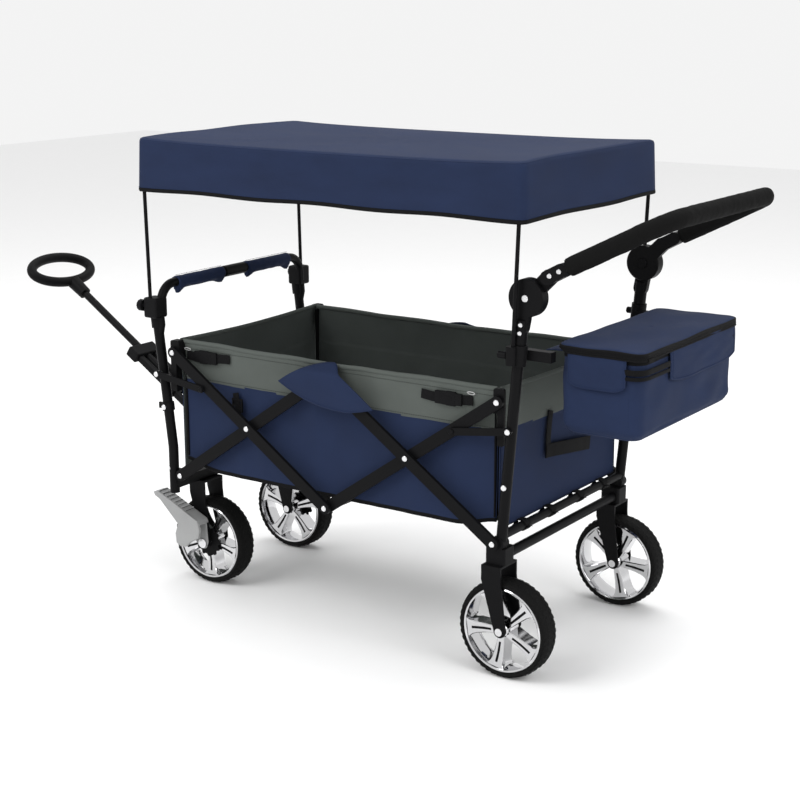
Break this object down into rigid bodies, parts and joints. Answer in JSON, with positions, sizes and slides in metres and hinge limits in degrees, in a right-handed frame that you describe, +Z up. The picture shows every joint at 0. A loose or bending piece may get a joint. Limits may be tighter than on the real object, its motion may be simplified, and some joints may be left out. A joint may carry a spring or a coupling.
{
  "type": "folding camp wagon",
  "caption": "Four-wheeled folding wagon with a fabric basket between scissor side frames, a canopy on rods, a pull handle, a tilting push bar and a lidded rear bag.",
  "frame": {"origin": "middle of the whole wagon's base: ground level, middle plane, halfway between the pull handle's tip and the push bar's end", "axes": "+X towards the push bar, -X towards the pull handle, +Y to the far side, +Z up"},
  "size_m": [1.8304, 0.556, 1.0238],
  "materials": {
    "black_steel": "satin powder coat",
    "zinc_bolt": "bright zinc plate",
    "black_plastic": "fine moulded grain",
    "foam_grip": "matt closed-cell foam",
    "navy_fabric": "woven polyester",
    "grey_fabric": "woven polyester",
    "tyre_rubber": "matt tread, smooth side",
    "chrome_rim": "bright plated",
    "pale_plastic": "ribbed moulding"
  },
  "bodies": {
    "rear_frame": {"rear_posts": "black_steel", "rear_cross_bars": "black_steel", "caster_blocks": "black_steel", "rear_frame_bolts": "zinc_bolt", "rear_canopy_clamps": "black_plastic", "rear_canopy_bow": "black_steel", "canopy_cover": "navy_fabric", "push_lower_arms": "black_plastic", "bag_brackets": "black_steel", "bag_shell": "navy_fabric", "basket_rear_wall": "navy_fabric", "basket_tub": "navy_fabric"},
    "bag_lid": {"bag_lid": "navy_fabric"},
    "rear_outer_pair": {"outer_rear_bars": "black_steel", "outer_rear_bolts": "zinc_bolt"},
    "rear_inner_pair": {"inner_rear_bars": "black_steel", "inner_rear_bolts": "zinc_bolt"},
    "front_outer_pair": {"outer_front_bars": "black_steel", "outer_front_bolts": "zinc_bolt", "bottom_cross_tube": "black_steel"},
    "front_inner_pair": {"inner_front_bars": "black_steel"},
    "front_frame": {"front_posts": "black_steel", "front_cross_tube": "black_steel", "front_pin_brackets": "black_plastic", "front_frame_bolts": "zinc_bolt", "front_canopy_clamps": "black_plastic", "front_canopy_bow": "black_steel", "grab_bar": "black_steel", "grab_sleeves": "navy_fabric", "basket_front_wall": "grey_fabric", "handle_pivot": "black_steel", "front_forks": "black_steel"},
    "rear_corners": {"rear_corner_brackets": "black_plastic"},
    "front_corners": {"front_corner_brackets": "black_plastic"},
    "rear_link_pair": {"rear_links": "black_steel"},
    "front_link_pair": {"front_links": "black_steel"},
    "pull_rails": {"handle_rails": "black_steel", "handle_top_bracket": "black_plastic"},
    "pull_shaft": {"handle_shaft": "black_steel", "handle_slider": "black_plastic", "handle_grip": "black_plastic"},
    "push_bar": {"push_upper_arms": "black_plastic", "push_tube": "black_steel", "push_foam": "foam_grip", "push_bolts": "zinc_bolt"},
    "push_button_near": {"push_button_near": "black_plastic"},
    "push_button_far": {"push_button_far": "black_plastic"},
    "caster_near": {"caster_fork_near": "black_steel", "caster_axle_near": "zinc_bolt"},
    "caster_far": {"caster_fork_far": "black_steel", "caster_axle_far": "zinc_bolt"},
    "brake_pedal": {"brake_pedal": "pale_plastic"},
    "front_wheel_near": {"tyre_front_near": "tyre_rubber", "rim_front_near": "chrome_rim"},
    "front_wheel_far": {"tyre_front_far": "tyre_rubber", "rim_front_far": "chrome_rim"},
    "rear_wheel_near": {"tyre_rear_near": "tyre_rubber", "rim_rear_near": "chrome_rim"},
    "rear_wheel_far": {"tyre_rear_far": "tyre_rubber", "rim_rear_far": "chrome_rim"}
  },
  "joints": [
    {"name": "fold", "type": "hinge", "parent": "rear_frame", "child": "rear_outer_pair", "pos_m": [0.5608, 0, 0.2765], "axis": [0, 1, 0], "range_deg": [0, 42], "deforming": ["basket_tub", "canopy_cover"]},
    {"name": "fold_rear_inner", "type": "hinge", "parent": "rear_outer_pair", "child": "rear_inner_pair", "pos_m": [0.3565, 0, 0.4175], "axis": [0, 1, 0], "range_deg": [-84, 0]},
    {"name": "fold_front_outer", "type": "hinge", "parent": "rear_inner_pair", "child": "front_outer_pair", "pos_m": [0.1522, 0, 0.2765], "axis": [0, 1, 0], "range_deg": [0, 84]},
    {"name": "fold_front_inner", "type": "hinge", "parent": "front_outer_pair", "child": "front_inner_pair", "pos_m": [-0.0521, 0, 0.4175], "axis": [0, 1, 0], "range_deg": [-84, 0]},
    {"name": "fold_front_frame", "type": "hinge", "parent": "front_inner_pair", "child": "front_frame", "pos_m": [-0.2564, 0, 0.2765], "axis": [0, 1, 0], "range_deg": [0, 42]},
    {"name": "rear_corner_turn", "type": "hinge", "parent": "rear_inner_pair", "child": "rear_corners", "pos_m": [0.5608, 0, 0.5585], "axis": [0, 1, 0], "range_deg": [0, 42]},
    {"name": "front_corner_turn", "type": "hinge", "parent": "front_outer_pair", "child": "front_corners", "pos_m": [-0.2564, 0, 0.5585], "axis": [0, 1, 0], "range_deg": [-42, 0]},
    {"name": "rear_link_turn", "type": "hinge", "parent": "rear_frame", "child": "rear_link_pair", "pos_m": [0.59028, 0, 0.506], "axis": [0, 1, 0], "range_deg": [0, 84]},
    {"name": "front_link_turn", "type": "hinge", "parent": "front_frame", "child": "front_link_pair", "pos_m": [-0.30092, 0, 0.506], "axis": [0, 1, 0], "range_deg": [-84, 0]},
    {"name": "pull_tilt", "type": "hinge", "parent": "front_frame", "child": "pull_rails", "pos_m": [-0.3028, 0, 0.275], "axis": [0, 1, 0], "range_deg": [-50, 40]},
    {"name": "pull_slide", "type": "slide", "parent": "pull_rails", "child": "pull_shaft", "axis": [-0.8339, 0, 0.5519], "range_m": [-0.15, 0.1]},
    {"name": "push_tilt", "type": "hinge", "parent": "rear_frame", "child": "push_bar", "pos_m": [0.6182, 0, 0.766], "axis": [0, 1, 0], "range_deg": [-40, 60]},
    {"name": "button_near_press", "type": "slide", "parent": "push_bar", "child": "push_button_near", "axis": [0, -1, 0], "range_m": [0, 0.004], "stiffness_N_per_m": 600},
    {"name": "button_far_press", "type": "slide", "parent": "push_bar", "child": "push_button_far", "axis": [0, 1, 0], "range_m": [0, 0.004], "stiffness_N_per_m": 600},
    {"name": "bag_lid_open", "type": "hinge", "parent": "rear_frame", "child": "bag_lid", "pos_m": [0.6672, 0, 0.6733], "axis": [0, 1, 0], "range_deg": [-95, 0]},
    {"name": "brake_press", "type": "hinge", "parent": "front_frame", "child": "brake_pedal", "pos_m": [-0.256, -0.205, 0.1], "axis": [0, 1, 0], "range_deg": [-12, 0]},
    {"name": "caster_swivel_near", "type": "hinge", "parent": "rear_frame", "child": "caster_near", "pos_m": [0.56, -0.2404, 0.232], "axis": [0, 0, 1], "continuous": true},
    {"name": "rear_wheel_spin_near", "type": "hinge", "parent": "caster_near", "child": "rear_wheel_near", "pos_m": [0.581, -0.2404, 0.1], "axis": [0, 1, 0], "continuous": true},
    {"name": "front_wheel_spin_near", "type": "hinge", "parent": "front_frame", "child": "front_wheel_near", "pos_m": [-0.256, -0.15, 0.1], "axis": [0, 1, 0], "continuous": true},
    {"name": "caster_swivel_far", "type": "hinge", "parent": "rear_frame", "child": "caster_far", "pos_m": [0.56, 0.2404, 0.232], "axis": [0, 0, 1], "continuous": true},
    {"name": "rear_wheel_spin_far", "type": "hinge", "parent": "caster_far", "child": "rear_wheel_far", "pos_m": [0.581, 0.2404, 0.1], "axis": [0, 1, 0], "continuous": true},
    {"name": "front_wheel_spin_far", "type": "hinge", "parent": "front_frame", "child": "front_wheel_far", "pos_m": [-0.256, 0.15, 0.1], "axis": [0, 1, 0], "continuous": true}
  ],
  "couplings": [
    {"joint": "fold_rear_inner", "follows": "fold", "ratio": -2},
    {"joint": "fold_front_outer", "follows": "fold", "ratio": 2},
    {"joint": "fold_front_inner", "follows": "fold", "ratio": -2},
    {"joint": "fold_front_frame", "follows": "fold", "ratio": 1},
    {"joint": "rear_corner_turn", "follows": "fold", "ratio": 1},
    {"joint": "front_corner_turn", "follows": "fold", "ratio": -1},
    {"joint": "rear_link_turn", "follows": "fold", "ratio": 2},
    {"joint": "front_link_turn", "follows": "fold", "ratio": -2},
    {"joint": "button_far_press", "follows": "button_near_press", "ratio": 1}
  ]
}
